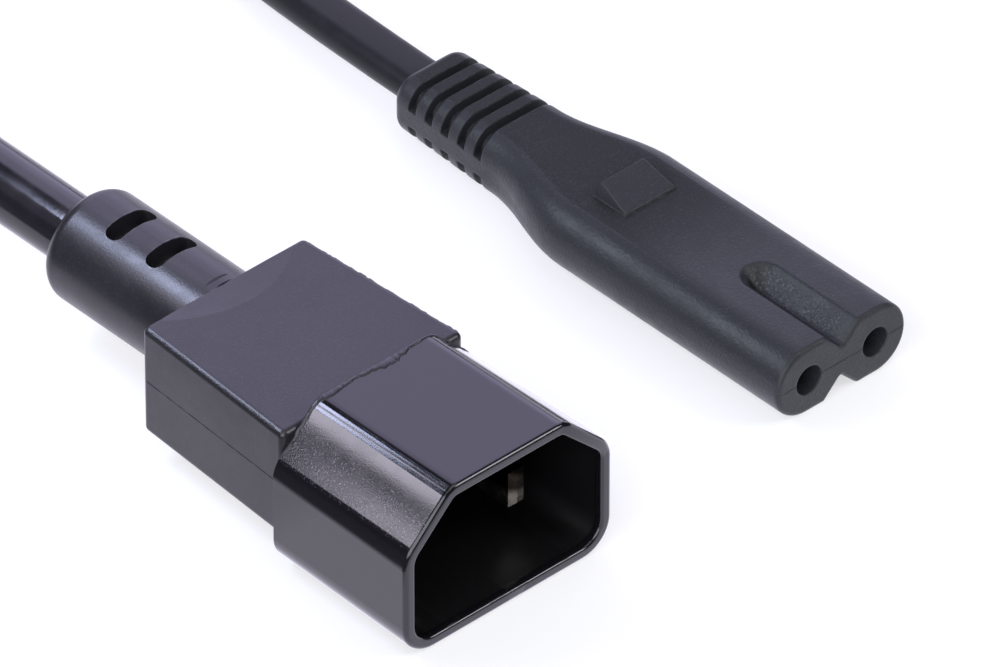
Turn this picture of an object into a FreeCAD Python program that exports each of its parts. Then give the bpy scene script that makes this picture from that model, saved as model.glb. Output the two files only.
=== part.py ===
import FreeCAD, Part
import math
import os

from FreeCAD import Vector

# All sizes are in millimetres. X runs across the connector, Y from its mating face to its cord, Z up.

# Figure-eight connector: nose and shoulders
connector_length = 58.0
pin_pitch = 8.6
nose_width = 16.7
nose_height = 7.7
nose_side_flat = 0.1
nose_edge_radius = 0.5
shoulder_length = 13.5
entry_radius = 1.6

# Grooves between the two lobes of the nose, above and below
groove_length = 13.5
groove_depth = 2.0
groove_lip_radius = 0.75
groove_root_radius = 0.4
groove_lip_overlap = 0.03

# Grip ramp on top of the connector
ramp_setback = 4.6
ramp_length = 4.6
ramp_width = 6.6
ramp_rise = 1.7
ramp_step = 0.25
ramp_inset = 0.55
ramp_edge_radius = 0.2
ramp_root = 0.5

# Slotted boot behind the shoulders
boot_front_width = 10.2
boot_front_height = 7.3
boot_corner_radius = 2.8
boot_draft = 0.45
boot_rear_ring = 2.4
boot_rear_radius = 1.2
boot_front_land = 0.4
slot_count = 5
slot_pitch = 2.4
slot_width = 1.1
slot_depth = 1.1
spine_height = 1.9

# Contacts and carrier inside the connector
carrier_start = 4.5
carrier_lip = 0.8
carrier_wall = 0.9
carrier_web = 1.6
mate_clearance = 0.15
contact_bore_radius = 1.2
contact_wall = 0.4
contact_length = 12.0
contact_slit = 0.5

# Flat two-core cord
cord_width = 5.4
cord_thickness = 3.3
cord_grip = 12.0
cord_rise = 0.05
core_pitch = 2.4
core_radius = 1.1
conductor_radius = 0.55
crimp_wall = 0.4
crimp_length = 5.0
bare_length = 1.5
core_gap = 0.5
cord_bend_share = 0.45

# In-line plug: place of its front rim beside the connector
plug_offset_x = -44.4
plug_offset_y = -1.9

# Plug hood
hood_width = 26.0
hood_height = 17.6
hood_top_width = 14.6
hood_chamfer_height = 5.6
hood_wall = 1.3
hood_draft = 0.3
hood_length = 18.6
hood_lip_radius = 0.5
hood_inner_lip_radius = 0.35
hood_bottom_radius = 3.6
hood_side_radius = 3.2
hood_top_radius = 2.4
recess_depth = 17.2

# Spigot of the hood inside the plug's block
spigot_width = 18.0
spigot_height = 9.4
spigot_length = 6.0
spigot_corner_radius = 1.5

# Blades
blade_width = 4.0
blade_thickness = 2.0
blade_pitch = 14.0
blade_height = 6.2
earth_rise = 4.0
blade_tip_depth = 6.1
earth_tip_depth = 7.2
blade_tip_chamfer = 0.6
blade_tail = 3.0

# Plug block, narrower towards the cord, and barrel
block_front_width = 22.8
block_rear_width = 20.4
block_height = 12.4
block_length = 21.1
block_base = 2.8
block_edge_radius = 0.7
scoop_width = 18.4
scoop_length = 3.9
scoop_depth = 0.35
barrel_radius = 5.95
barrel_length = 19.5
barrel_rear_radius = 1.6
window_count = 2
window_pitch = 5.7
window_width = 5.6
window_length = 2.1
window_corner_radius = 0.9
window_floor = 3.7
window_setback = 5.5

# Round sleeve over the cord at the plug
sleeve_radius = 3.45
sleeve_length = 17.0
sleeve_grip = 9.0
sleeve_end_radius = 0.8

# Distance within which a point counts as lying on a plane
touch = 0.001

# Values that follow from the sizes above
nose_corner_radius = (nose_height - nose_side_flat) / 2
boot_length = boot_rear_ring + (slot_count - 1) * slot_pitch + slot_width + boot_front_land
body_length = connector_length - boot_length
straight_length = body_length - shoulder_length
ramp_front = straight_length - ramp_setback
face_y = -connector_length / 2
axis_z = nose_height / 2
cord_z = cord_thickness / 2 + cord_rise
contact_radius = contact_bore_radius + contact_wall
crimp_radius = conductor_radius + crimp_wall
contact_start = carrier_start + carrier_lip
carrier_length = carrier_lip + contact_length
crimp_end = contact_start + contact_length + crimp_length
plug_length = hood_length + block_length + barrel_length
plug_face_y = face_y + plug_offset_y
barrel_z = block_base + block_height / 2
blade_root = hood_length + spigot_length + blade_tail
plug_crimp_end = blade_root + crimp_length


def connector_point(x, behind_face, z):
    """A point placed by its distance behind the connector's mating face."""
    return Vector(x, face_y + behind_face, z)


def plug_point(x, behind_rim, z):
    """A point placed across the plug, by its distance behind the plug's front rim."""
    return Vector(plug_offset_x + x, plug_face_y + behind_rim, z)


def box(low, high):
    size = high - low
    return Part.makeBox(size.x, size.y, size.z, low)


def rod(radius, start, end):
    """A round rod from one point to another."""
    return Part.makeCylinder(radius, (end - start).Length, start, end - start)


def rounded_outline(corners, radii):
    """A closed wire through the corners, each rounded by its own radius."""
    count = len(corners)
    starts = []
    middles = []
    ends = []
    for i, corner in enumerate(corners):
        back = (corners[i - 1] - corner).normalize()
        ahead = (corners[(i + 1) % count] - corner).normalize()
        half_angle = back.getAngle(ahead) / 2
        inward = (back + ahead).normalize()
        centre = corner + inward * (radii[i] / math.sin(half_angle))
        starts.append(corner + back * (radii[i] / math.tan(half_angle)))
        middles.append(centre - inward * radii[i])
        ends.append(corner + ahead * (radii[i] / math.tan(half_angle)))
    edges = []
    for i in range(count):
        edges.append(Part.Arc(starts[i], middles[i], ends[i]).toShape())
        edges.append(Part.LineSegment(ends[i], starts[(i + 1) % count]).toShape())
    return Part.Wire(edges)


def cross_section(width, height, radius, centre):
    """A rounded rectangle across the lead, round a centre."""
    corners = []
    for side_x, side_z in ((-1, -1), (1, -1), (1, 1), (-1, 1)):
        corners.append(centre + Vector(side_x * width / 2, 0, side_z * height / 2))
    return rounded_outline(corners, [radius] * len(corners))


def flat_cord_section(centre):
    """The cord's section: two flats joined by half rounds."""
    radius = cord_thickness / 2
    side = cord_width / 2 - radius

    def at(x, z):
        return centre + Vector(x, 0, z)

    edges = [
        Part.LineSegment(at(-side, -radius), at(side, -radius)).toShape(),
        Part.Arc(at(side, -radius), at(side + radius, 0), at(side, radius)).toShape(),
        Part.LineSegment(at(side, radius), at(-side, radius)).toShape(),
        Part.Arc(at(-side, radius), at(-side - radius, 0), at(-side, -radius)).toShape(),
    ]
    return Part.Wire(edges)


def prism(outline, length):
    return Part.Face(outline).extrude(Vector(0, length, 0))


def edges_at(shape, y):
    """The edges that lie wholly at one distance along Y."""
    found = []
    for edge in shape.Edges:
        bounds = edge.BoundBox
        if abs(bounds.YMin - y) < touch and abs(bounds.YMax - y) < touch:
            found.append(edge)
    return found


def is_among(edge, others):
    """Whether an edge lies where one of some others does."""
    middle = edge.BoundBox.Center
    return any(middle.distanceToPoint(other.BoundBox.Center) < touch for other in others)


def boot_section(along, inset):
    """The boot's section at a share of its length, from 0 at the shoulders to 1 at the cord."""
    shrink = 2 * (boot_draft * along + inset)
    centre = connector_point(0, body_length + along * boot_length, axis_z)
    width = boot_front_width - shrink
    height = boot_front_height - shrink
    radius = boot_corner_radius - boot_draft * along - inset
    return cross_section(width, height, radius, centre)


def make_shoulders():
    """Smooth loft from the nose's section down to the boot's."""
    steps = 4
    sections = []
    for step in range(steps + 1):
        along = step / steps
        ease = (1 - math.cos(math.pi * along)) / 2
        width = nose_width + (boot_front_width - nose_width) * ease
        height = nose_height + (boot_front_height - nose_height) * ease
        radius = nose_corner_radius + (boot_corner_radius - nose_corner_radius) * ease
        centre = connector_point(0, straight_length + along * shoulder_length, axis_z)
        sections.append(cross_section(width, height, radius, centre))
    return Part.makeLoft(sections, True, False)


def make_boot():
    boot = Part.makeLoft([boot_section(0, 0), boot_section(1, 0)], True, True)
    rear = edges_at(boot, face_y + connector_length)
    return boot.makeFillet(boot_rear_radius, rear)


def make_boot_slots():
    """Slots round the boot, above and below a spine on each side."""
    core = Part.makeLoft([boot_section(0, slot_depth), boot_section(1, slot_depth)], True, True)
    spine_low = Vector(-nose_width, face_y, axis_z - spine_height / 2)
    spine_high = Vector(nose_width, face_y + connector_length, axis_z + spine_height / 2)
    slots = []
    for i in range(slot_count):
        rear = connector_length - boot_rear_ring - i * slot_pitch
        low = connector_point(-nose_width, rear - slot_width, axis_z - nose_height)
        high = connector_point(nose_width, rear, axis_z + nose_height)
        slots.append(box(low, high).cut(core).cut(box(spine_low, spine_high)))
    return slots


def section_arc(at, radius, centre, angles):
    """An arc through three angles, measured from straight down, with its first and last points."""
    points = []
    for angle in angles:
        points.append(at(centre[0] + radius * math.sin(angle), centre[1] - radius * math.cos(angle)))
    return Part.Arc(*points).toShape(), points[0], points[-1]


def make_groove():
    """Cutter for the upper groove: a right-angled V with a round root, rounded lips and a round end."""
    slope = math.pi / 4
    half_width = groove_depth + math.tan(slope / 2) * (groove_lip_radius + groove_root_radius)
    surface = nose_height + groove_lip_overlap
    floor = surface - groove_depth
    top = surface + nose_height
    end_y = face_y + groove_length - half_width

    def at(x, z):
        return Vector(x, end_y, z)

    root_centre = (0, floor + groove_root_radius)
    root, root_start, root_end = section_arc(at, groove_root_radius, root_centre, (0, slope / 2, slope))
    lip_centre = (half_width, surface - groove_lip_radius)
    lip_angles = (slope - math.pi, slope / 2 - math.pi, -math.pi)
    lip, lip_start, lip_end = section_arc(at, groove_lip_radius, lip_centre, lip_angles)
    half = [
        root,
        Part.LineSegment(root_end, lip_start).toShape(),
        lip,
        Part.LineSegment(lip_end, at(half_width, top)).toShape(),
        Part.LineSegment(at(half_width, top), at(0, top)).toShape(),
        Part.LineSegment(at(0, top), root_start).toShape(),
    ]
    half_face = Part.Face(Part.Wire(half))
    run = half_face.extrude(Vector(0, face_y - end_y - nose_height, 0))
    other_run = run.mirror(Vector(0, 0, 0), Vector(1, 0, 0))
    round_end = half_face.revolve(at(0, 0), Vector(0, 0, 1), 360)
    return run.fuse([other_run, round_end]).removeSplitter()


def make_ramp():
    """Wedge that rises towards the cord from a low step, with leaning sides, sunk a little into the body."""
    lean = ramp_inset / ramp_rise
    rear = ramp_front + ramp_length
    wires = []
    for height in (-ramp_root, ramp_rise):
        half = ramp_width / 2 - lean * height
        back = rear - lean * height
        corners = [(-half, back), (half, back), (half, ramp_front), (-half, ramp_front)]
        points = [connector_point(x, y, nose_height + height) for x, y in corners]
        wires.append(Part.makePolygon(points + points[:1]))
    block = Part.makeLoft(wires, True, True)
    climb = (ramp_rise - ramp_step) / (ramp_length - ramp_inset)
    over = [
        connector_point(-ramp_width, ramp_front - ramp_length, nose_height + ramp_step - climb * ramp_length),
        connector_point(-ramp_width, rear - ramp_inset, nose_height + ramp_rise),
        connector_point(-ramp_width, rear - ramp_inset, nose_height + 2 * ramp_rise),
        connector_point(-ramp_width, ramp_front - ramp_length, nose_height + 2 * ramp_rise),
    ]
    slope = Part.Face(Part.makePolygon(over + over[:1])).extrude(Vector(2 * ramp_width, 0, 0))
    wedge = block.cut(slope)
    upper = [edge for edge in wedge.Edges if edge.BoundBox.ZMin > nose_height + touch]
    return wedge.makeFillet(ramp_edge_radius, upper)


def make_connector_shell():
    """Outside form of the connector, still solid inside."""
    nose_centre = connector_point(0, 0, axis_z)
    nose = prism(cross_section(nose_width, nose_height, nose_corner_radius, nose_centre), straight_length)
    shell = nose.fuse([make_shoulders(), make_boot()]).removeSplitter()
    groove = make_groove()
    lower_groove = groove.mirror(Vector(0, 0, axis_z), Vector(0, 0, 1))
    shell = shell.cut(groove.fuse(lower_groove))
    shell = shell.makeFillet(nose_edge_radius, edges_at(shell, face_y))
    shell = shell.fuse(make_ramp())
    return shell.cut(make_boot_slots())


def make_contact(x):
    """Rolled sleeve with a lengthwise slit, and the crimp barrel behind it."""
    start = connector_point(x, contact_start, axis_z)
    end = connector_point(x, contact_start + contact_length, axis_z)
    sleeve = rod(contact_radius, start, end)
    wall = Vector(0, contact_wall, 0)
    sleeve = sleeve.cut(rod(contact_bore_radius, start - wall, end - wall))
    slit_low = start + Vector(-contact_slit / 2, -contact_wall, 0)
    slit_high = end + Vector(contact_slit / 2, -2 * contact_wall, contact_radius + contact_wall)
    sleeve = sleeve.cut(box(slit_low, slit_high))
    crimp = rod(crimp_radius, end, connector_point(x, crimp_end, axis_z))
    return sleeve.fuse(crimp).removeSplitter()


def make_carrier():
    """Two tubes joined by a web, with a lip in front of each contact."""
    side = pin_pitch / 2
    radius = contact_radius + carrier_wall
    end = carrier_start + carrier_length
    web_low = connector_point(-side, carrier_start, axis_z - carrier_web / 2)
    web_high = connector_point(side, end, axis_z + carrier_web / 2)
    carrier = box(web_low, web_high)
    holes = []
    for x in (-side, side):
        front = connector_point(x, carrier_start, axis_z)
        seat = connector_point(x, contact_start, axis_z)
        rear = connector_point(x, end, axis_z)
        carrier = carrier.fuse(rod(radius, front, rear))
        holes.append(rod(contact_bore_radius + mate_clearance, front, rear))
        holes.append(rod(contact_radius, seat, rear))
    return carrier.removeSplitter().cut(holes)


def make_core(crimp_front, crimp_back, cord_end):
    """Copper from inside a crimp barrel to the cord's end, and the insulation round its free stretch."""
    crimped = rod(conductor_radius, crimp_front, crimp_back)
    knee = Part.makeSphere(conductor_radius, crimp_back)
    copper = crimped.fuse([knee, rod(conductor_radius, crimp_back, cord_end)])
    along = (cord_end - crimp_back).normalize()
    insulation = rod(core_radius, crimp_back + along * bare_length, cord_end)
    copper = copper.removeSplitter()
    return copper, insulation.cut(copper)


def make_cord():
    """Flat cord along straight runs joined by tangent arcs, from inside the boot to inside the barrel."""
    boot_end = face_y + connector_length
    barrel_end = plug_face_y + plug_length
    route = [
        Vector(0, boot_end - cord_grip, axis_z),
        Vector(0, boot_end + 12, axis_z),
        Vector(3.4, boot_end + 36, cord_z),
        Vector(12.0, boot_end + 56, cord_z),
        Vector(17.5, boot_end + 76, cord_z),
        Vector(12.3, boot_end + 93, cord_z),
        Vector(-1.3, boot_end + 104.5, cord_z),
        Vector(-18.9, boot_end + 107, cord_z),
        Vector(-35.1, boot_end + 99.6, cord_z),
        Vector(-44.9, boot_end + 84.6, cord_z),
        Vector(-45.9, boot_end + 64, cord_z + 0.2),
        Vector(plug_offset_x, barrel_end + 23.7, barrel_z),
        Vector(plug_offset_x, barrel_end - cord_grip, barrel_z),
    ]
    edges = []
    radii = []
    length = 0
    last = route[0]
    for before, corner, after in zip(route, route[1:], route[2:]):
        back = before - corner
        ahead = after - corner
        half_turn = (math.pi - back.getAngle(ahead)) / 2
        tangent = cord_bend_share * min(back.Length, ahead.Length)
        radius = tangent / math.tan(half_turn)
        back.normalize()
        ahead.normalize()
        inward = (back + ahead).normalize()
        middle = corner + inward * (radius / math.cos(half_turn) - radius)
        start = corner + back * tangent
        end = corner + ahead * tangent
        edges.append(Part.LineSegment(last, start).toShape())
        edges.append(Part.Arc(start, middle, end).toShape())
        radii.append(round(radius, 1))
        length += (start - last).Length + 2 * half_turn * radius
        last = end
    edges.append(Part.LineSegment(last, route[-1]).toShape())
    length += (route[-1] - last).Length
    section = flat_cord_section(route[0])
    sweep = Part.BRepOffsetAPI.MakePipeShell(Part.Wire(edges))
    sweep.setBiNormalMode(Vector(0, 0, 1))
    sweep.add(section, False, False)
    sweep.build()
    sweep.makeSolid()
    cord = sweep.shape()
    print("cord bend radii", radii)
    print("cord length", round(length, 1), "volume", round(cord.Volume, 1),
          "section times length", round(Part.Face(section).Area * length, 1))
    return cord


def hood_corners(inset, y):
    """Corners of the hood's outline, moved in by an inset, from the bottom left round."""
    slope = math.atan2(hood_chamfer_height, (hood_width - hood_top_width) / 2)
    side = hood_width / 2 - inset
    shoulder = hood_height - hood_chamfer_height - inset * math.tan((math.pi / 2 - slope) / 2)
    top = hood_top_width / 2 - inset * math.tan(slope / 2)
    places = [(-side, inset), (side, inset), (side, shoulder),
              (top, hood_height - inset), (-top, hood_height - inset), (-side, shoulder)]
    return [plug_point(x, y, z) for x, z in places]


def hood_outline(inset, y):
    radii = []
    for radius in (hood_bottom_radius, hood_bottom_radius, hood_side_radius,
                   hood_top_radius, hood_top_radius, hood_side_radius):
        radii.append(radius - inset)
    return rounded_outline(hood_corners(inset, y), radii)


def make_shroud(blades):
    """Hood round the blades, its floor, and a spigot that the block is moulded over."""
    hood = Part.makeLoft([hood_outline(0, 0), hood_outline(hood_draft, hood_length)], True, True)
    rim = edges_at(hood, plug_face_y)
    hood = hood.makeFillet(hood_lip_radius, rim)
    recess_floor = hood_outline(hood_wall + hood_draft, recess_depth)
    recess = Part.makeLoft([hood_outline(hood_wall, 0), recess_floor], True, True)
    recess_rim = edges_at(recess, plug_face_y)
    hood = hood.cut(recess)
    mouth = [edge for edge in edges_at(hood, plug_face_y) if is_among(edge, recess_rim)]
    hood = hood.makeFillet(hood_inner_lip_radius, mouth)
    spigot_centre = plug_point(0, hood_length, barrel_z)
    spigot_outline = cross_section(spigot_width, spigot_height, spigot_corner_radius, spigot_centre)
    return hood.fuse(prism(spigot_outline, spigot_length)).cut(blades)


def make_blade(x, z, tip_depth, wired):
    """Flat blade with a chamfered tip; a wired one has a crimp barrel on its tail."""
    low = plug_point(x - blade_thickness / 2, tip_depth, z - blade_width / 2)
    high = plug_point(x + blade_thickness / 2, blade_root, z + blade_width / 2)
    blade = box(low, high)
    blade = blade.makeChamfer(blade_tip_chamfer, edges_at(blade, low.y))
    if wired:
        crimp = rod(crimp_radius, plug_point(x, blade_root, z), plug_point(x, plug_crimp_end, z))
        blade = blade.fuse(crimp)
    return blade


def make_block():
    """Block that narrows towards the cord."""
    rear = hood_length + block_length
    plan = [
        plug_point(-block_front_width / 2, hood_length, block_base),
        plug_point(block_front_width / 2, hood_length, block_base),
        plug_point(block_rear_width / 2, rear, block_base),
        plug_point(-block_rear_width / 2, rear, block_base),
    ]
    plan.append(plan[0])
    block = Part.Face(Part.makePolygon(plan)).extrude(Vector(0, 0, block_height))
    return block.makeFillet(block_edge_radius, block.Edges)


def make_scoop():
    """Cutter for the shallow scoop in the block's top: a wide cylinder that sinks towards the rear."""
    rear = hood_length + block_length
    front = plug_point(0, rear - scoop_length, block_base + block_height)
    along = Vector(0, scoop_length, -scoop_depth).normalize()
    upward = Vector(0, scoop_depth, scoop_length).normalize()
    radius = scoop_width ** 2 / (8 * scoop_depth)
    start = front + upward * radius - along * block_length
    cylinder = Part.makeCylinder(radius, 2 * block_length, start, along)
    low = plug_point(-block_front_width, hood_length, block_base)
    return cylinder.common(box(low, plug_point(block_front_width, rear, block_base + 2 * block_height)))


def make_barrel():
    """Round barrel behind the block, with windows in its top and underside that let it bend."""
    barrel = rod(barrel_radius, plug_point(0, hood_length + block_length / 2, barrel_z),
                 plug_point(0, plug_length, barrel_z))
    barrel = barrel.makeFillet(barrel_rear_radius, edges_at(barrel, plug_face_y + plug_length))
    windows = []
    for i in range(window_count):
        rear = plug_length - window_setback - i * window_pitch
        low = plug_point(-window_width / 2, rear - window_length, barrel_z + window_floor)
        high = plug_point(window_width / 2, rear, barrel_z + 2 * barrel_radius)
        window = box(low, high)
        upright = [edge for edge in window.Edges if edge.BoundBox.ZLength > touch]
        window = window.makeFillet(window_corner_radius, upright)
        windows.append(window)
        windows.append(window.mirror(plug_point(0, 0, barrel_z), Vector(0, 0, 1)))
    return barrel.cut(windows)


def make_sleeve():
    """Smooth round sleeve from inside the barrel out over the cord."""
    start = plug_point(0, plug_length - sleeve_grip, barrel_z)
    end = plug_point(0, plug_length + sleeve_length, barrel_z)
    sleeve = rod(sleeve_radius, start, end)
    return sleeve.makeFillet(sleeve_end_radius, edges_at(sleeve, end.y))


parts = {}
cord = make_cord()
parts["cord"] = cord

parts["contact_carrier"] = make_carrier()
connector_inside = [parts["contact_carrier"], cord]
cord_start = connector_length - cord_grip - core_gap
for side, name in ((-1, "left"), (1, "right")):
    pin_x = side * pin_pitch / 2
    contact = make_contact(pin_x)
    copper, insulation = make_core(connector_point(pin_x, crimp_end - crimp_length, axis_z),
                                   connector_point(pin_x, crimp_end, axis_z),
                                   connector_point(side * core_pitch / 2, cord_start, axis_z))
    parts["contact_sleeve_" + name] = contact.cut(copper)
    parts["connector_conductor_" + name] = copper
    parts["connector_core_" + name] = insulation
    connector_inside += [contact, copper, insulation]
    contact_end = connector_point(pin_x, contact_start + contact_length, axis_z)
    lip_front = connector_point(pin_x, carrier_start, axis_z)
    connector_inside.append(rod(entry_radius, connector_point(pin_x, 0, axis_z), lip_front))
    connector_inside.append(rod(contact_bore_radius + mate_clearance, lip_front, contact_end))
    connector_inside.append(rod(contact_radius, connector_point(pin_x, contact_start, axis_z), contact_end))
parts["connector_body"] = make_connector_shell().cut(connector_inside)

blades = []
plug_inside = [cord]
cord_finish = plug_length - cord_grip - core_gap
for side, name in ((-1, "line"), (1, "neutral")):
    blade_x = side * blade_pitch / 2
    blade = make_blade(blade_x, blade_height, blade_tip_depth, True)
    copper, insulation = make_core(plug_point(blade_x, blade_root, blade_height),
                                   plug_point(blade_x, plug_crimp_end, blade_height),
                                   plug_point(side * core_pitch / 2, cord_finish, barrel_z))
    parts["plug_pin_" + name] = blade.cut(copper)
    parts["plug_conductor_" + name] = copper
    parts["plug_core_" + name] = insulation
    blades.append(blade)
    plug_inside += [blade, copper, insulation]
earth = make_blade(0, blade_height + earth_rise, earth_tip_depth, False)
parts["plug_pin_earth"] = earth
blades.append(earth)
parts["plug_shroud"] = make_shroud(blades)
sleeve = make_sleeve()
parts["plug_sleeve"] = sleeve.cut(cord)
plug_inside += [earth, parts["plug_shroud"], sleeve]
plug_shell = make_block().fuse(make_barrel()).removeSplitter().cut(make_scoop())
parts["plug_body"] = plug_shell.cut(plug_inside)

os.makedirs("parts", exist_ok=True)
for name, shape in parts.items():
    print(name, "solids", len(shape.Solids), "valid", shape.isValid(), "volume", round(shape.Volume, 1))
    shape.exportStep("parts/" + name + ".step")
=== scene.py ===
import bpy
import math
import mathutils
import numpy as np
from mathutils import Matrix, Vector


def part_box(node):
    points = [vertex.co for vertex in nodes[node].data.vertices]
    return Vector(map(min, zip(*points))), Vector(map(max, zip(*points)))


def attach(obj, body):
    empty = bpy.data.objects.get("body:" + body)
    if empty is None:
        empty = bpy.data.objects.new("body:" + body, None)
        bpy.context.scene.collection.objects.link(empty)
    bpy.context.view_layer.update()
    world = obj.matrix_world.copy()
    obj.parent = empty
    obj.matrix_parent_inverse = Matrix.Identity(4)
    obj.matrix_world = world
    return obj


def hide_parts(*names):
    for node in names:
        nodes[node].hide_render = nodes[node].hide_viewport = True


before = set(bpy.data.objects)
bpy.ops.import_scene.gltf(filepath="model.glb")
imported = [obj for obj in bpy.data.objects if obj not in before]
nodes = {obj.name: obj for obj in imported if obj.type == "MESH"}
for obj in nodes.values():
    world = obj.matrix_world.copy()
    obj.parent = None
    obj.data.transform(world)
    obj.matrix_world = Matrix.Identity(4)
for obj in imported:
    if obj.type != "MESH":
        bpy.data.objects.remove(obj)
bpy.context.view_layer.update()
print("frame loaded,", len(nodes), "nodes")

# places that later sections share, read from the frame
bodyLow, bodyHigh = (np.array(corner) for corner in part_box("connector_body"))
hoodLow, hoodHigh = (np.array(corner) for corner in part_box("plug_shroud"))
plugLow, plugHigh = (np.array(corner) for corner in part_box("plug_body"))
faceY, bootEnd = bodyLow[1], bodyHigh[1]        # mating face of the connector, and where the cord leaves it
axisZ = 0.00385                                 # mid height of the connector
plugX = (hoodLow[0] + hoodHigh[0]) / 2
rimY, hoodEnd, barrelEnd = hoodLow[1], plugLow[1], plugHigh[1]
blockBase, blockTop = plugLow[2], plugHigh[2]
barrelZ = (blockBase + blockTop) / 2            # mid height of block and barrel
blockLength = 0.0211
blockRear = hoodEnd + blockLength
barrelRadius = 0.00595


# camera: a long lens, so that the view is almost parallel; the middle of the connector's face is at facePixel
shot = dict(azimuth=-42.6, elevation=38.2, distance=1.5, pixelsPerMetre=10600.0, imageSize=(1000, 667),
            facePixel=(842.0, 361.0), sensor=36.0, clip=(0.05, 100.0))


def placeCamera():
    turn = math.radians(shot["azimuth"])
    rise = math.radians(shot["elevation"])
    right = np.array([math.cos(turn), math.sin(turn), 0.0])
    back = np.array([math.sin(turn) * math.cos(rise), -math.cos(turn) * math.cos(rise), math.sin(rise)])
    up = np.cross(back, right)
    width, height = shot["imageSize"]
    aside = (shot["facePixel"][0] - width / 2) / shot["pixelsPerMetre"]
    below = (shot["facePixel"][1] - height / 2) / shot["pixelsPerMetre"]
    target = np.array([0.0, faceY, axisZ]) - aside * right + below * up
    data = bpy.data.cameras.new("shotCamera")
    data.sensor_width = shot["sensor"]
    data.lens = shot["sensor"] * shot["distance"] * shot["pixelsPerMetre"] / width
    data.clip_start, data.clip_end = shot["clip"]
    camera = bpy.data.objects.new("shotCamera", data)
    camera.location = target + back * shot["distance"]
    camera.rotation_euler = (math.pi / 2 - rise, 0.0, turn)
    bpy.context.scene.collection.objects.link(camera)
    bpy.context.scene.camera = camera


placeCamera()
bpy.context.scene.view_settings.view_transform = "Standard"
print("camera placed")


# node helpers: an input that is a socket is linked, any other value is set
def addNode(tree, kind, inputs=None, **settings):
    node = tree.nodes.new(kind)
    for key, value in settings.items():
        setattr(node, key, value)
    for key, value in (inputs or {}).items():
        if isinstance(value, bpy.types.NodeSocket):
            tree.links.new(value, node.inputs[key])
        else:
            node.inputs[key].default_value = value
    return node


def calc(tree, operation, first, second=0.0):
    return addNode(tree, "ShaderNodeMath", {0: first, 1: second}, operation=operation).outputs[0]


def product(tree, first, second):
    return calc(tree, "MULTIPLY", first, second)


def vectorCalc(tree, operation, first, second):
    return addNode(tree, "ShaderNodeVectorMath", {0: first, 1: second}, operation=operation)


def splitAxes(tree, vector):
    return addNode(tree, "ShaderNodeSeparateXYZ", {0: vector}).outputs


def noise(tree, vector, scale, detail):
    inputs = {"Vector": vector, "Scale": scale, "Detail": detail}
    return addNode(tree, "ShaderNodeTexNoise", inputs).outputs[0]


def smoothRange(tree, value, fromLow, fromHigh, low=0.0, high=1.0):
    inputs = {"Value": value, "From Min": fromLow, "From Max": fromHigh, "To Min": low, "To Max": high}
    return addNode(tree, "ShaderNodeMapRange", inputs, interpolation_type="SMOOTHSTEP").outputs["Result"]


def mixColour(tree, share, first, second):
    node = addNode(tree, "ShaderNodeMix", {"Factor": share}, data_type="RGBA")
    for socket, value in ((node.inputs[6], first), (node.inputs[7], second)):
        if isinstance(value, bpy.types.NodeSocket):
            tree.links.new(value, socket)
        else:
            socket.default_value = (*value, 1.0)
    return node.outputs[2]


def mixValue(tree, share, first, second):
    node = addNode(tree, "ShaderNodeMix", {"Factor": share, 2: first, 3: second}, data_type="FLOAT")
    return node.outputs[0]


# floor and light: soft boxes are bright patches of the sky, each round a direction; in reflections the
# floor is bright beside the object, a little dimmer beside the block as a painted shadow, and dark beyond a
# flag on the left
studio = dict(floorSize=30.0, floorDrop=0.00002, floorColour=(0.92, 0.92, 0.92), floorGlow=0.6, floorSeen=1.0,
              floorShine=(1.5, 1.46, 1.72), flag=(plugX - 0.030, plugX - 0.022), flagged=0.1,
              besideBlock=(hoodEnd + 0.002, hoodEnd + 0.008), blockEdge=(plugX + 0.014, plugX + 0.022),
              blockShadowDim=0.18, skyColour=(0.05, 0.05, 0.055))
softBoxes = [
    # behind right, on the tops
    dict(toward=(0.60, 0.58, 0.58), edge=(0.83, 0.91), colour=(1.68, 1.57, 2.30)),
    # behind left, weak
    dict(toward=(-0.58, 0.58, 0.58), edge=(0.94, 0.985), colour=(0.25, 0.24, 0.28)),
    # left, on the flanks
    dict(toward=(-0.80, -0.42, 0.43), edge=(0.80, 0.95), colour=(4.2, 4.3, 4.8)),
    # overhead
    dict(toward=(0.0, -0.25, 1.0), edge=(0.88, 0.97), colour=(1.6, 1.6, 1.7)),
    # front right, small, on the lips
    dict(toward=(0.53, -0.60, 0.60), edge=(0.972, 0.988), colour=(9.0, 9.0, 9.6)),
]

# strip lights: three for the bright lines on the hood's left chamfer, one for the connector's left flank
# and one over the barrel
chamferAim = (-0.0545, -0.0216, 0.0148)
kickers = [
    dict(place=(-0.1205, 0.0538, 0.0978), aim=chamferAim, size=(0.060, 0.017), power=0.0280,
         colour=(1.0, 0.95, 1.12)),
    dict(place=(-0.1320, 0.0538, 0.0871), aim=chamferAim, size=(0.060, 0.015), power=0.0024,
         colour=(1.0, 0.95, 1.10)),
    dict(place=(-0.1424, 0.0380, 0.0741), aim=chamferAim, size=(0.042, 0.018), power=0.0140,
         colour=(1.0, 0.95, 1.12)),
    dict(place=(-0.0850, 0.0765, 0.1045), aim=(-0.0070, -0.0100, 0.0050), size=(0.043, 0.036), power=0.0780,
         colour=(0.87, 0.95, 1.34)),
    dict(place=(-0.0480, 0.0650, 0.0795), aim=(-0.0444, 0.0185, 0.0145), size=(0.024, 0.060), power=0.0060,
         colour=(0.97, 0.92, 1.18)),
]


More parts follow.
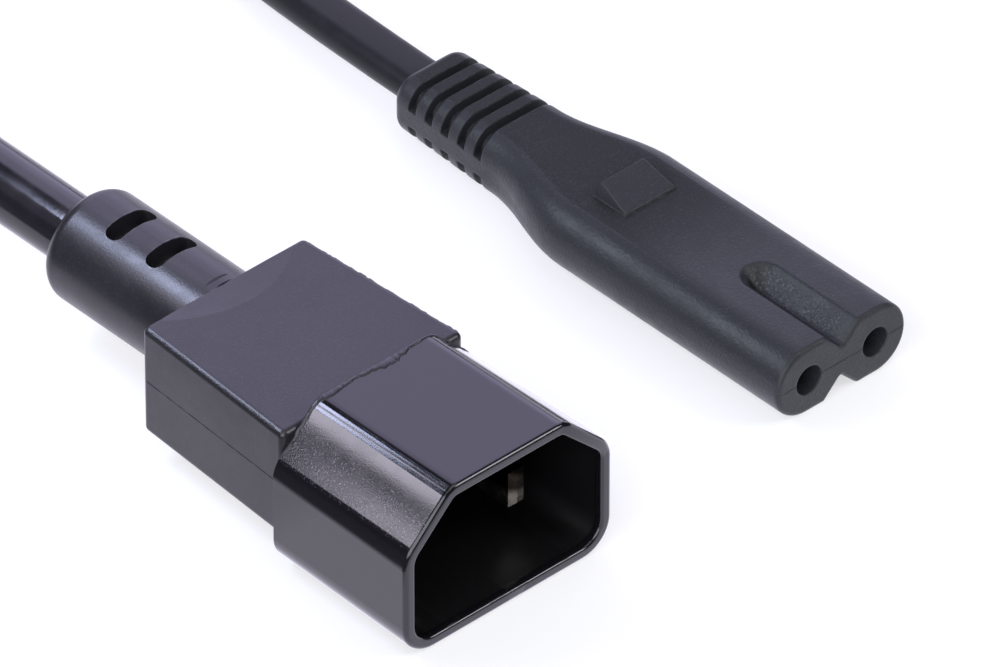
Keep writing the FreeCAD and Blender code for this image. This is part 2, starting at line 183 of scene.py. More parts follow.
def makeWorld():
    world = bpy.data.worlds.new("studioSky")
    bpy.context.scene.world = world
    world.use_nodes = True
    tree = world.node_tree
    tree.nodes.clear()
    direction = addNode(tree, "ShaderNodeTexCoord").outputs["Generated"]
    light = addNode(tree, "ShaderNodeCombineXYZ", dict(zip("XYZ", studio["skyColour"]))).outputs[0]
    for lamp in softBoxes:
        toward = np.array(lamp["toward"]) / np.linalg.norm(lamp["toward"])
        facing = vectorCalc(tree, "DOT_PRODUCT", direction, toward).outputs["Value"]
        patch = smoothRange(tree, facing, *lamp["edge"])
        glow = addNode(tree, "ShaderNodeVectorMath", {0: lamp["colour"], "Scale": patch}, operation="SCALE")
        light = vectorCalc(tree, "ADD", light, glow.outputs["Vector"]).outputs["Vector"]
    background = addNode(tree, "ShaderNodeBackground", {"Color": light, "Strength": 1.0})
    addNode(tree, "ShaderNodeOutputWorld", {"Surface": background.outputs[0]})


def makeFloor():
    half = studio["floorSize"] / 2
    mesh = bpy.data.meshes.new("floor")
    corners = [(-half, -half, 0.0), (half, -half, 0.0), (half, half, 0.0), (-half, half, 0.0)]
    mesh.from_pydata(corners, [], [(0, 1, 2, 3)])
    floor = bpy.data.objects.new("floor", mesh)
    floor.location.z = -studio["floorDrop"]
    bpy.context.scene.collection.objects.link(floor)
    material = bpy.data.materials.new("paleFloor")
    material.use_nodes = True
    tree = material.node_tree
    tree.nodes.clear()
    path = addNode(tree, "ShaderNodeLightPath")
    seen = calc(tree, "MAXIMUM", path.outputs["Is Camera Ray"], path.outputs["Is Transmission Ray"])
    share = product(tree, seen, studio["floorGlow"])
    paint = addNode(tree, "ShaderNodeBsdfDiffuse", {"Color": (*studio["floorColour"], 1.0)})
    glow = addNode(tree, "ShaderNodeEmission", {"Strength": studio["floorSeen"]})
    plain = addNode(tree, "ShaderNodeMixShader", {0: share, 1: paint.outputs[0], 2: glow.outputs[0]})
    axes = splitAxes(tree, addNode(tree, "ShaderNodeTexCoord").outputs["Object"])
    # painted shadow: the floor seen in reflections is dimmer beside the block
    paintedBlockShadow = product(tree, smoothRange(tree, axes[1], *studio["besideBlock"]),
                     smoothRange(tree, axes[0], *studio["blockEdge"], studio["blockShadowDim"], 0.0))
    bright = product(tree, smoothRange(tree, axes[0], *studio["flag"], studio["flagged"], 1.0),
                     calc(tree, "SUBTRACT", 1.0, paintedBlockShadow))
    shine = addNode(tree, "ShaderNodeEmission", {"Color": (*studio["floorShine"], 1.0), "Strength": bright})
    mix = addNode(tree, "ShaderNodeMixShader",
                  {0: path.outputs["Is Glossy Ray"], 1: plain.outputs[0], 2: shine.outputs[0]})
    addNode(tree, "ShaderNodeOutputMaterial", {"Surface": mix.outputs[0]})
    mesh.materials.append(material)


# the first size of a strip light lies along the object's length
def makeKicker(spec):
    data = bpy.data.lights.new("kicker", "AREA")
    data.shape = "RECTANGLE"
    data.size, data.size_y = spec["size"]
    data.energy = spec["power"]
    data.color = spec["colour"]
    lamp = bpy.data.objects.new("kicker", data)
    back = np.array(spec["place"]) - spec["aim"]
    back /= np.linalg.norm(back)
    along = np.array([0.0, 1.0, 0.0]) - back * back[1]
    along /= np.linalg.norm(along)
    lamp.location = spec["place"]
    lamp.rotation_euler = mathutils.Matrix((along, np.cross(back, along), back)).transposed().to_euler()
    lamp.visible_camera = False
    bpy.context.scene.collection.objects.link(lamp)


makeWorld()
makeFloor()
for strip in kickers:
    makeKicker(strip)
print("floor and light made")


# shared effects
grainSpec = dict(smoothness=0.6, pebble=0.6, detail=2.0, finer=1.7, fineDetail=1.0, fleck=(0.60, 0.70))
handlingSpec = dict(broadScale=90.0, broadDetail=2.0, closeScale=620.0, closeDetail=3.0, closeShare=0.4,
                    spread=(0.36, 0.64))
rubSpec = dict(samples=6, lean=(0.995, 0.93), patchScale=1500.0, patchDetail=3.0, patch=(0.62, 0.66))


def newGroup(name, inputs, outputs):
    tree = bpy.data.node_groups.new(name, "ShaderNodeTree")
    for label, kind in inputs.items():
        tree.interface.new_socket(name=label, in_out="INPUT", socket_type="NodeSocket" + kind)
    for label, kind in outputs.items():
        tree.interface.new_socket(name=label, in_out="OUTPUT", socket_type="NodeSocket" + kind)
    return tree, addNode(tree, "NodeGroupInput").outputs


# pebbled grain of a mould, and sparse flecks on a finer scale
def makeGrain():
    spec = grainSpec
    tree, given = newGroup("mouldGrain", {"Vector": "Vector", "Scale": "Float"},
                           {"Height": "Float", "Fleck": "Float"})
    place, scale = given["Vector"], given["Scale"]
    pebble = addNode(tree, "ShaderNodeTexVoronoi", {"Vector": place, "Scale": scale}, feature="SMOOTH_F1")
    pebble.inputs["Smoothness"].default_value = spec["smoothness"]
    cloud = noise(tree, place, scale, spec["detail"])
    height = calc(tree, "SUBTRACT", cloud, product(tree, pebble.outputs["Distance"], spec["pebble"]))
    fine = noise(tree, place, product(tree, scale, spec["finer"]), spec["fineDetail"])
    addNode(tree, "NodeGroupOutput", {"Height": height, "Fleck": smoothRange(tree, fine, *spec["fleck"])})
    return tree


# uneven gloss from handling, between two limits
def makeHandling():
    spec = handlingSpec
    tree, given = newGroup("handlingGloss", {"Vector": "Vector", "Low": "Float", "High": "Float"},
                           {"Value": "Float", "Cloud": "Float"})
    broad = noise(tree, given["Vector"], spec["broadScale"], spec["broadDetail"])
    close = noise(tree, given["Vector"], spec["closeScale"], spec["closeDetail"])
    cloud = smoothRange(tree, mixValue(tree, spec["closeShare"], broad, close), *spec["spread"])
    value = mixValue(tree, cloud, given["Low"], given["High"])
    addNode(tree, "NodeGroupOutput", {"Value": value, "Cloud": cloud})
    return tree


# one inside a box, zero outside, blended over a depth inside its sides
def makeBoxMask():
    tree, given = newGroup("boxMask",
                           {"Vector": "Vector", "Low": "Vector", "High": "Vector", "Blend": "Float"},
                           {"Mask": "Float"})
    above = vectorCalc(tree, "SUBTRACT", given["Vector"], given["Low"]).outputs["Vector"]
    below = vectorCalc(tree, "SUBTRACT", given["High"], given["Vector"]).outputs["Vector"]
    axes = splitAxes(tree, vectorCalc(tree, "MINIMUM", above, below).outputs["Vector"])
    depth = calc(tree, "MINIMUM", calc(tree, "MINIMUM", axes[0], axes[1]), axes[2])
    addNode(tree, "NodeGroupOutput", {"Mask": smoothRange(tree, depth, 0.0, given["Blend"])})
    return tree


# worn edges: where the normal of a rounded copy of the surface leans away from the surface's own
def makeEdgeRub():
    spec = rubSpec
    tree, given = newGroup("edgeRub", {"Vector": "Vector", "Radius": "Float", "Patches": "Float"},
                           {"Mask": "Float", "Normal": "Vector"})
    bevel = addNode(tree, "ShaderNodeBevel", {"Radius": given["Radius"]}, samples=spec["samples"])
    rounded = bevel.outputs[0]
    own = addNode(tree, "ShaderNodeNewGeometry").outputs["Normal"]
    lean = vectorCalc(tree, "DOT_PRODUCT", rounded, own).outputs["Value"]
    edge = smoothRange(tree, lean, *spec["lean"])
    cloud = noise(tree, given["Vector"], spec["patchScale"], spec["patchDetail"])
    low, high = spec["patch"]
    worn = smoothRange(tree, cloud, calc(tree, "SUBTRACT", low, given["Patches"]), high)
    addNode(tree, "NodeGroupOutput", {"Mask": product(tree, edge, worn), "Normal": rounded})
    return tree


mouldGrain = makeGrain()
handlingGloss = makeHandling()
boxMask = makeBoxMask()
edgeRub = makeEdgeRub()
print("shader groups made")


def useGroup(tree, group, inputs):
    return addNode(tree, "ShaderNodeGroup", inputs, node_tree=group).outputs


def grainAt(tree, place, scale):
    return useGroup(tree, mouldGrain, {"Vector": place, "Scale": scale})


def handlingAt(tree, place, limits):
    return useGroup(tree, handlingGloss, {"Vector": place, "Low": limits[0], "High": limits[1]})


def rubAt(tree, place, radius, patches):
    return useGroup(tree, edgeRub, {"Vector": place, "Radius": radius, "Patches": patches})


def newFinish(name):
    material = bpy.data.materials.new(name)
    material.use_nodes = True
    tree = material.node_tree
    tree.nodes.clear()
    shader = addNode(tree, "ShaderNodeBsdfPrincipled")
    addNode(tree, "ShaderNodeOutputMaterial", {"Surface": shader.outputs[0]})
    place = addNode(tree, "ShaderNodeTexCoord").outputs["Object"]
    return material, tree, shader, place


shaderInputs = dict(colour="Base Color", roughness="Roughness", metal="Metallic", normal="Normal",
                    shine="Specular IOR Level", tint="Specular Tint")


def feed(tree, shader, **sockets):
    for label, value in sockets.items():
        socket = shader.inputs[shaderInputs[label]]
        if isinstance(value, bpy.types.NodeSocket):
            tree.links.new(value, socket)
        else:
            socket.default_value = value


def bump(tree, height, distance, normal=None):
    inputs = {"Height": height, "Distance": distance}
    if normal is not None:
        inputs["Normal"] = normal
    return addNode(tree, "ShaderNodeBump", inputs).outputs[0]


# connector: matt moulding with a fine grain, coarser and flecked inside the two grooves, with painted shade
# along the left of their roots; the top is painted darker away from the face as painted shade, and is rougher
# there
connectorFinish = dict(
    colour=(0.018, 0.019, 0.0225), worn=(0.055, 0.057, 0.066), roughness=(0.40, 0.50), shine=0.26,
    tint=(0.94, 1.0, 0.82, 1.0), grainScale=3400.0, grainHeight=0.000028, grooveScale=2300.0,
    grooveHeight=0.00006, fleckShare=(0.32, 0.9), rub=(0.0003, 0.12), rubShare=0.6,
    speck=(0.055, 0.057, 0.065), topFacing=(0.95, 0.995), dulledAndShaded=(faceY + 0.013, faceY + 0.027),
    topShadeColour=(0.011, 0.0113, 0.013), dullRoughness=0.70, rootShadeColour=(0.003, 0.003, 0.0035),
    root=(0.0004, -0.0009), rootShadeDepth=(axisZ + 0.0033, axisZ + 0.0028),
    grooveLow=(-0.0023, faceY + 0.0012, axisZ - 0.0037), grooveHigh=(0.0023, faceY + 0.0134, axisZ + 0.0037),
    grooveBlend=0.0005)


def makeConnectorPvc():
    spec = connectorFinish
    material, tree, shader, place = newFinish("connectorPvc")
    grain = grainAt(tree, place, spec["grainScale"])
    rough = grainAt(tree, place, spec["grooveScale"])
    handling = handlingAt(tree, place, spec["roughness"])
    groove = useGroup(tree, boxMask, {"Vector": place, "Low": spec["grooveLow"], "High": spec["grooveHigh"],
                                      "Blend": spec["grooveBlend"]})["Mask"]
    rub = rubAt(tree, place, *spec["rub"])
    fleck = product(tree, grain["Fleck"], mixValue(tree, groove, *spec["fleckShare"]))
    light = calc(tree, "MAXIMUM", fleck, product(tree, rub["Mask"], spec["rubShare"]))
    upward = splitAxes(tree, addNode(tree, "ShaderNodeNewGeometry").outputs["True Normal"])[2]
    axes = splitAxes(tree, place)
    # painted shade: the top is coloured darker away from the face, and made rougher there
    behind = smoothRange(tree, axes[1], *spec["dulledAndShaded"])
    dullAndShaded = product(tree, smoothRange(tree, upward, *spec["topFacing"]), behind)
    colour = mixColour(tree, light, mixColour(tree, dullAndShaded, spec["colour"], spec["topShadeColour"]), spec["worn"])
    colour = mixColour(tree, product(tree, rough["Fleck"], groove), colour, spec["speck"])
    # painted shade: the groove roots are coloured darker towards their left walls and floors
    deep = smoothRange(tree, axes[2], *spec["rootShadeDepth"])
    root = product(tree, smoothRange(tree, axes[0], *spec["root"]), deep)
    colour = mixColour(tree, product(tree, root, groove), colour, spec["rootShadeColour"])
    fine = product(tree, grain["Height"], spec["grainHeight"] / spec["grooveHeight"])
    relief = calc(tree, "ADD", fine, product(tree, rough["Height"], groove))
    feed(tree, shader, colour=colour, shine=spec["shine"], tint=spec["tint"],
         roughness=mixValue(tree, dullAndShaded, handling["Value"], spec["dullRoughness"]),
         normal=bump(tree, relief, spec["grooveHeight"], rub["Normal"]))
    return material


# plug block and barrel: satin moulding, smoother than the connector
plugFinish = dict(colour=(0.010, 0.0097, 0.0115), worn=(0.09, 0.088, 0.10), roughness=(0.29, 0.37),
                  shine=0.41, grainScale=4200.0, grainHeight=0.000007, fleckShare=0.15, rub=(0.0003, 0.15),
                  rubShare=0.6)


def makePlugPvc():
    spec = plugFinish
    material, tree, shader, place = newFinish("plugPvc")
    grain = grainAt(tree, place, spec["grainScale"])
    handling = handlingAt(tree, place, spec["roughness"])
    rub = product(tree, rubAt(tree, place, *spec["rub"])["Mask"], spec["rubShare"])
    light = calc(tree, "MAXIMUM", product(tree, grain["Fleck"], spec["fleckShare"]), rub)
    colour = mixColour(tree, light, spec["colour"], spec["worn"])
    feed(tree, shader, colour=colour, roughness=handling["Value"], shine=spec["shine"],
         normal=bump(tree, grain["Height"], spec["grainHeight"]))
    return material


# hood: hard glossy moulding with a faint orange peel and light scuffs, painted darker inside as painted shade
# and rougher there; its two chamfers are grainier low down, with light flecks there painted as glints, and
# slightly
# crowned: with s from -1 to 1 up the slant, the height falls as the square of s; the top rolls off to its two
# long edges as the square of the way there
hoodFinish = dict(
    colour=(0.0045, 0.0042, 0.0055), scuff=(0.035, 0.033, 0.04), roughness=(0.09, 0.15), peelScale=7000.0,
    peelHeight=0.000003, scuffShare=0.06, rub=(0.0003, 0.2), rubShare=0.4, lip=(rimY + 0.0005, rimY + 0.0012),
    inward=(-0.001, -0.004), insideShade=(0.0012, 0.0011, 0.0014), insideRoughness=0.45, crown=0.0002,
    slantMiddle=(0.01015, 0.0148), slantWay=(-0.713, 0.701), halfSlant=0.004, lowerHalf=(0.5, -0.1),
    grain=1.6, fleck=(0.10, 0.095, 0.11), glintFleckScale=3600.0, slopeFacing=(0.60, 0.68), topFacing=(0.74, 0.82),
    roll=(0.0060, 0.0076), rollHeight=0.00019)


def chamferSlant(tree, sideways, height):
    spec = hoodFinish
    outPart, upPart = (part / spec["halfSlant"] for part in spec["slantWay"])
    aside = calc(tree, "SUBTRACT", sideways, spec["slantMiddle"][0])
    above = calc(tree, "SUBTRACT", height, spec["slantMiddle"][1] - barrelZ)
    slant = calc(tree, "ADD", product(tree, aside, outPart), product(tree, above, upPart))
    return calc(tree, "MINIMUM", calc(tree, "MAXIMUM", slant, -1.0), 1.0)


def makeHoodGloss():
    spec = hoodFinish
    material, tree, shader, place = newFinish("hoodGloss")
    peel = grainAt(tree, place, spec["peelScale"])
    handling = handlingAt(tree, place, spec["roughness"])
    rub = product(tree, rubAt(tree, place, *spec["rub"])["Mask"], spec["rubShare"])
    light = calc(tree, "MAXIMUM", product(tree, peel["Fleck"], spec["scuffShare"]), rub)
    colour = mixColour(tree, light, spec["colour"], spec["scuff"])
    fromAxis = vectorCalc(tree, "SUBTRACT", place, (plugX, 0.0, barrelZ)).outputs["Vector"]
    radial = vectorCalc(tree, "MULTIPLY", fromAxis, (1.0, 0.0, 1.0)).outputs["Vector"]
    facing = addNode(tree, "ShaderNodeNewGeometry").outputs["True Normal"]
    outward = vectorCalc(tree, "DOT_PRODUCT", radial, facing).outputs["Value"]
    axes = splitAxes(tree, fromAxis)
    behindLip = smoothRange(tree, axes[1], *spec["lip"])
    inside = product(tree, smoothRange(tree, outward, *spec["inward"]), behindLip)
    # painted shade: the inside of the hood is coloured darker, and made rougher there
    colour = mixColour(tree, inside, colour, spec["insideShade"])
    sideways = calc(tree, "ABSOLUTE", axes[0])
    slant = chamferSlant(tree, sideways, axes[2])
    crown = product(tree, product(tree, slant, slant), -1.0)
    lower = product(tree, calc(tree, "ADD", crown, 1.0), smoothRange(tree, slant, *spec["lowerHalf"]))
    coarse = calc(tree, "ADD", product(tree, lower, spec["grain"]), 1.0)
    grain = product(tree, product(tree, peel["Height"], coarse), spec["peelHeight"] / spec["crown"])
    # painted highlight: light flecks low on the chamfers stand for glints of reflected light in the grain; the
    # coarser bump there is real
    fleck = product(tree, grainAt(tree, place, spec["glintFleckScale"])["Fleck"], lower)
    upward = splitAxes(tree, facing)[2]
    flat = smoothRange(tree, upward, *spec["topFacing"])
    sloped = calc(tree, "SUBTRACT", smoothRange(tree, upward, *spec["slopeFacing"]), flat)
    colour = mixColour(tree, product(tree, fleck, sloped), colour, spec["fleck"])
    toEdge = addNode(tree, "ShaderNodeMapRange", {"Value": sideways, "From Min": spec["roll"][0],
                                                  "From Max": spec["roll"][1]}).outputs["Result"]
    roll = product(tree, product(tree, toEdge, toEdge), spec["rollHeight"] / spec["crown"])
    relief = calc(tree, "SUBTRACT", calc(tree, "ADD", crown, grain), product(tree, roll, flat))
    feed(tree, shader, colour=colour,
         roughness=mixValue(tree, inside, handling["Value"], spec["insideRoughness"]),
         normal=bump(tree, relief, spec["crown"]))
    return material


# cord and sleeve: smooth skins; the cord's own map gives the run of its draw lines
cordFinish = dict(colour=(0.013, 0.013, 0.0145), pale=(0.020, 0.020, 0.022), paleShare=0.5, nearBoot=0.40,
                  nearPlug=0.30, uneven=(-0.05, 0.05), drawScale=(160.0, 1.2), drawDetail=2.0,
                  drawHeight=0.000006, shine=0.12, tint=(0.92, 1.0, 0.86, 1.0))
sleeveFinish = dict(colour=(0.007, 0.0065, 0.008), pale=(0.014, 0.013, 0.016), paleShare=0.4,
                    roughness=(0.12, 0.19), peelScale=2400.0, peelHeight=0.000003)


def makeCordPvc():
    spec = cordFinish
    material, tree, shader, place = newFinish("cordPvc")
    uv = addNode(tree, "ShaderNodeTexCoord").outputs["UV"]
    drawn = addNode(tree, "ShaderNodeMapping", {"Vector": uv, "Scale": (*spec["drawScale"], 1.0)}).outputs[0]
    lines = noise(tree, drawn, 1.0, spec["drawDetail"])
    along = addNode(tree, "ShaderNodeAttribute", attribute_name="alongCord").outputs["Fac"]
    base = mixValue(tree, along, spec["nearBoot"], spec["nearPlug"])
    handling = handlingAt(tree, place, spec["uneven"])
    cloud = product(tree, handling["Cloud"], spec["paleShare"])
    feed(tree, shader, colour=mixColour(tree, cloud, spec["colour"], spec["pale"]),
         roughness=calc(tree, "ADD", base, handling["Value"]), shine=spec["shine"], tint=spec["tint"],
         normal=bump(tree, lines, spec["drawHeight"]))
    return material


def makeSleevePvc():
    spec = sleeveFinish
    material, tree, shader, place = newFinish("sleevePvc")
    peel = grainAt(tree, place, spec["peelScale"])
    handling = handlingAt(tree, place, spec["roughness"])
    cloud = product(tree, handling["Cloud"], spec["paleShare"])
    feed(tree, shader, colour=mixColour(tree, cloud, spec["colour"], spec["pale"]),
         roughness=handling["Value"], normal=bump(tree, peel["Height"], spec["peelHeight"]))
    return material


# metal: fine brushing along the length, and a warmer or darker tone where it is rubbed
brushing = dict(stretch=(1.0, 0.06, 1.0), scale=9000.0, detail=2.0, height=0.000003, rub=(0.0002, 0.2),
                cloudShare=0.3)
metalFinish = {
    "bladeNickel": dict(colour=(0.55, 0.50, 0.43), rubbed=(0.62, 0.48, 0.30), roughness=(0.22, 0.36),
                        shadedAbove=(0.0054, 0.0066), upperShadeColour=(0.035, 0.028, 0.022)),
    "contactBrass": dict(colour=(0.73, 0.58, 0.30), rubbed=(0.55, 0.40, 0.20), roughness=(0.25, 0.40)),
    "copperStrand": dict(colour=(0.78, 0.45, 0.30), rubbed=(0.55, 0.28, 0.18), roughness=(0.28, 0.42)),
}


def makeMetal(name):
    spec = metalFinish[name]
    material, tree, shader, place = newFinish(name)
    drawn = addNode(tree, "ShaderNodeMapping", {"Vector": place, "Scale": brushing["stretch"]}).outputs[0]
    lines = noise(tree, drawn, brushing["scale"], brushing["detail"])
    handling = handlingAt(tree, place, spec["roughness"])
    rub = rubAt(tree, place, *brushing["rub"])["Mask"]
    warm = calc(tree, "MAXIMUM", rub, product(tree, handling["Cloud"], brushing["cloudShare"]))
    colour = mixColour(tree, warm, spec["colour"], spec["rubbed"])
    if "shadedAbove" in spec:     # painted shade: the blades are coloured darker above this height
        shadedUpper = smoothRange(tree, splitAxes(tree, place)[2], *spec["shadedAbove"])
        colour = mixColour(tree, shadedUpper, colour, spec["upperShadeColour"])
    feed(tree, shader, colour=colour, metal=1.0, roughness=handling["Value"],
         normal=bump(tree, lines, brushing["height"]))
    return material


# plain finishes: insulation of the cores, the contact carrier, and painted shade for a slit and a parting line
innerGrain = dict(scale=3000.0, height=0.000005)
innerFinish = {
    "coreInsulation": dict(colour=(0.35, 0.20, 0.12), pale=(0.42, 0.26, 0.17), roughness=(0.40, 0.52)),
    "innerNylon": dict(colour=(0.72, 0.70, 0.65), pale=(0.80, 0.78, 0.73), roughness=(0.48, 0.60)),
    "seamShade": dict(colour=(0.003, 0.003, 0.004), pale=(0.008, 0.008, 0.009), roughness=(0.70, 0.85)),
}


def makeInner(name):
    spec = innerFinish[name]
    material, tree, shader, place = newFinish(name)
    grain = grainAt(tree, place, innerGrain["scale"])
    handling = handlingAt(tree, place, spec["roughness"])
    feed(tree, shader, colour=mixColour(tree, handling["Cloud"], spec["colour"], spec["pale"]),
         roughness=handling["Value"], normal=bump(tree, grain["Height"], innerGrain["height"]))
    return material


finishes = {
    "connector_pvc": makeConnectorPvc(), "plug_pvc": makePlugPvc(), "hood_gloss": makeHoodGloss(),
    "cord_pvc": makeCordPvc(), "sleeve_pvc": makeSleevePvc(), "blade_nickel": makeMetal("bladeNickel"),
    "contact_brass": makeMetal("contactBrass"), "copper": makeMetal("copperStrand"),
    "core_insulation": makeInner("coreInsulation"), "inner_nylon": makeInner("innerNylon"),
    "seam": makeInner("seamShade"),
}
nodeFinish = {
    "connector_body": "connector_pvc", "plug_body": "plug_pvc", "plug_shroud": "hood_gloss",
    "plug_sleeve": "sleeve_pvc", "cord": "cord_pvc", "contact_carrier": "inner_nylon",
    "contact_sleeve": "contact_brass", "plug_pin": "blade_nickel", "connector_core": "core_insulation",
    "plug_core": "core_insulation", "connector_conductor": "copper", "plug_conductor": "copper",
}
for nodeName, node in nodes.items():
    label = next(key for key in sorted(nodeFinish, key=len, reverse=True) if nodeName.startswith(key))
    node.data.materials.clear()
    node.data.materials.append(finishes[nodeFinish[label]])
print("finishes made:", len(finishes))


# surface helpers
def meshObject(name, points, faces, material):
    mesh = bpy.data.meshes.new(name)
    mesh.from_pydata(points.tolist(), [], faces)
    mesh.polygons.foreach_set("use_smooth", np.ones(len(mesh.polygons), dtype=bool))
    mesh.materials.append(material)
    mesh.update()
    piece = bpy.data.objects.new(name, mesh)
    bpy.context.scene.collection.objects.link(piece)
    return piece


def meshPoints(mesh):
    points = np.empty(len(mesh.vertices) * 3)
    mesh.vertices.foreach_get("co", points)
    return points.reshape(-1, 3)


# quads between the rings of a tube: point i of a ring joins point i + 1 and the next ring
def ringFaces(ringCount, around):
    ring = np.arange(ringCount - 1)[:, None] * around
    here = np.arange(around)[None, :]
    ahead = (here + 1) % around
    quads = np.stack([ring + here, ring + around + here, ring + around + ahead, ring + ahead], axis=-1)
    return quads.reshape(-1, 4).tolist()


# fans that close the two ends of a tube on a middle point each
def endFaces(ringCount, around):
    here = np.arange(around)
    ahead = (here + 1) % around
    last = (ringCount - 1) * around
    middle = ringCount * around
    front = np.stack([np.full(around, middle), here, ahead], axis=1)
    rear = np.stack([np.full(around, middle + 1), last + ahead, last + here], axis=1)
    return np.vstack([front, rear]).tolist()


# quads of a grid, row by row
def gridFaces(rows, columns):
    first = (np.arange(rows - 1)[:, None] * columns + np.arange(columns - 1)[None, :]).ravel()
    return np.stack([first, first + 1, first + columns + 1, first + columns], axis=1).tolist()


# direction of a line at each point, by differences
def tangentsOf(line):
    tangent = np.gradient(line, axis=0)
    return tangent / np.linalg.norm(tangent, axis=1, keepdims=True)


# length run along a line up to each point
def runAlong(line):
    return np.concatenate([[0.0], np.cumsum(np.linalg.norm(np.diff(line, axis=0), axis=1))])


# cord: flat two-core flex from inside the boot to inside the barrel
cordSpec = dict(width=0.0054, thickness=0.0033, rise=0.00005, grip=0.012, length=0.275, around=48, order=3,
                resolution=14, mapScale=100)
cordZ = cordSpec["thickness"] / 2 + cordSpec["rise"]
cordRoute = [
    (0.0, bootEnd - cordSpec["grip"], axisZ),
    (0.0, bootEnd + 0.012, axisZ),
    (0.0034, bootEnd + 0.036, cordZ),
    (0.0120, bootEnd + 0.056, cordZ),
    (0.0175, bootEnd + 0.076, cordZ),
    (0.0123, bootEnd + 0.093, cordZ),
    (-0.0013, bootEnd + 0.1045, cordZ),
    (-0.0189, bootEnd + 0.107, cordZ),
    (-0.0351, bootEnd + 0.0996, cordZ),
    (-0.0449, bootEnd + 0.0846, cordZ),
    (-0.0459, bootEnd + 0.064, cordZ + 0.0002),
    (plugX, barrelEnd + 0.0237, barrelZ),
    (plugX, barrelEnd - cordSpec["grip"], barrelZ),
]


def splinePoints(route):
    curve = bpy.data.curves.new("cordLine", "CURVE")
    curve.dimensions = "3D"
    spline = curve.splines.new("NURBS")
    spline.points.add(len(route) - 1)
    spline.points.foreach_set("co", np.hstack([np.array(route), np.ones((len(route), 1))]).ravel())
    spline.order_u = cordSpec["order"]
    spline.use_endpoint_u = True
    spline.resolution_u = cordSpec["resolution"]
    holder = bpy.data.objects.new("cordLine", curve)
    bpy.context.scene.collection.objects.link(holder)
    bpy.context.view_layer.update()
    line = bpy.data.meshes.new_from_object(holder)
    points = meshPoints(line)
    bpy.data.objects.remove(holder)
    bpy.data.curves.remove(curve)
    bpy.data.meshes.remove(line)
    return points


# section of the cord: half rounds of half the thickness, moved apart to the width, carried along
# the line with its flat sides level; the map is the angle round it and the length along it
def makeCord():
    line = splinePoints(cordRoute)
    tangent = tangentsOf(line)
    side = np.cross(tangent, (0.0, 0.0, 1.0))
    side /= np.linalg.norm(side, axis=1, keepdims=True)
    up = np.cross(side, tangent)
    around = cordSpec["around"]
    angle = (np.arange(around) + 0.5) * 2 * np.pi / around
    radius = cordSpec["thickness"] / 2
    apart = cordSpec["width"] / 2 - radius
    across = radius * np.cos(angle) + apart * np.sign(np.cos(angle))
    high = radius * np.sin(angle)
    rings = line[:, None] + across[None, :, None] * side[:, None] + high[None, :, None] * up[:, None]
    points = np.vstack([rings.reshape(-1, 3), line[:1], line[-1:]])
    faces = ringFaces(len(line), around) + endFaces(len(line), around)
    piece = meshObject("cordFlex", points, faces, finishes["cord_pvc"])
    run = runAlong(line)
    along = np.concatenate([np.repeat(run / run[-1], around), [0.0, 1.0]])
    turn = np.concatenate([np.tile(angle / (2 * np.pi), len(line)), [0.5, 0.5]])
    mesh = piece.data
    mesh.attributes.new("alongCord", "FLOAT", "POINT").data.foreach_set("value", along)
    corner = np.empty(len(mesh.loops), dtype=np.int32)
    mesh.loops.foreach_get("vertex_index", corner)
    uv = np.stack([turn[corner], along[corner] * run[-1] * cordSpec["mapScale"]], axis=1)
    mesh.uv_layers.new(name="cordMap").data.foreach_set("uv", uv.ravel())
    return piece, line


# marks of the mould: thin strips and ridges that lie on the CAD surfaces
sideNames = {-1: "Left", 1: "Right"}


# uneven share along a line: a least value, plus a spread times random numbers at a spacing, joined by
# straight lines; wander holds least value, spread, spacing and seed
def unevenShare(count, wander, shift=0):
    least, spread, spacing, seed = wander
    knots = np.random.default_rng(seed + shift).random(count // spacing + 2)
    return least + spread * np.interp(np.arange(count) / spacing, np.arange(len(knots)), knots)


# strip along a line: each column of the profile is a share of the width across and a share of the height out
def stripObject(name, line, outward, width, height, material, profile):
    outward = np.broadcast_to(outward, line.shape)
    side = np.cross(tangentsOf(line), outward)
    shares, rises = np.array(profile).T
    across = np.broadcast_to(width, len(line))[:, None] * shares[None, :]
    out = np.broadcast_to(height, len(line))[:, None] * rises[None, :]
    points = line[:, None] + across[:, :, None] * side[:, None] + out[:, :, None] * outward[:, None]
    return meshObject(name, points.reshape(-1, 3), gridFaces(len(line), len(profile)), material)


# ragged skin of the block over the hood's rear edge: the edge's outline, moved forward by a wandering lap;
# each column of the profile is a share of the lap, a step forward, a share of the thickness and a step out
hoodFlashSpec = dict(
    count=420, lowest=0.0124, spigot=(0.0092, 0.0049), onEdge=0.000002, fadeCount=20.0, thickness=0.00010,
    lapAt=(-0.0074, -0.0063, -0.0045, -0.0027, -0.0004, 0.0014, 0.0030, 0.0042, 0.0060, 0.0074),
    lap=(0.00045, 0.00085, 0.00060, 0.00035, 0.00070, 0.00110, 0.00085, 0.00045, 0.00020, 0.00025),
    lapWander=(0.6, 0.5, 9, 3), lapFray=(0.0, 0.3, 3, 4), thicknessWander=(0.7, 0.6, 5, 5),
    profile=((1.0, 0.0, 0.0, -0.00003), (0.9, 0.0, 0.7, 0.0), (0.5, 0.0, 1.0, 0.0),
             (0.0, 0.00003, 1.0, 0.0), (0.0, -0.00006, 0.3, 0.0), (0.0, -0.00006, 0.0, -0.0021)))


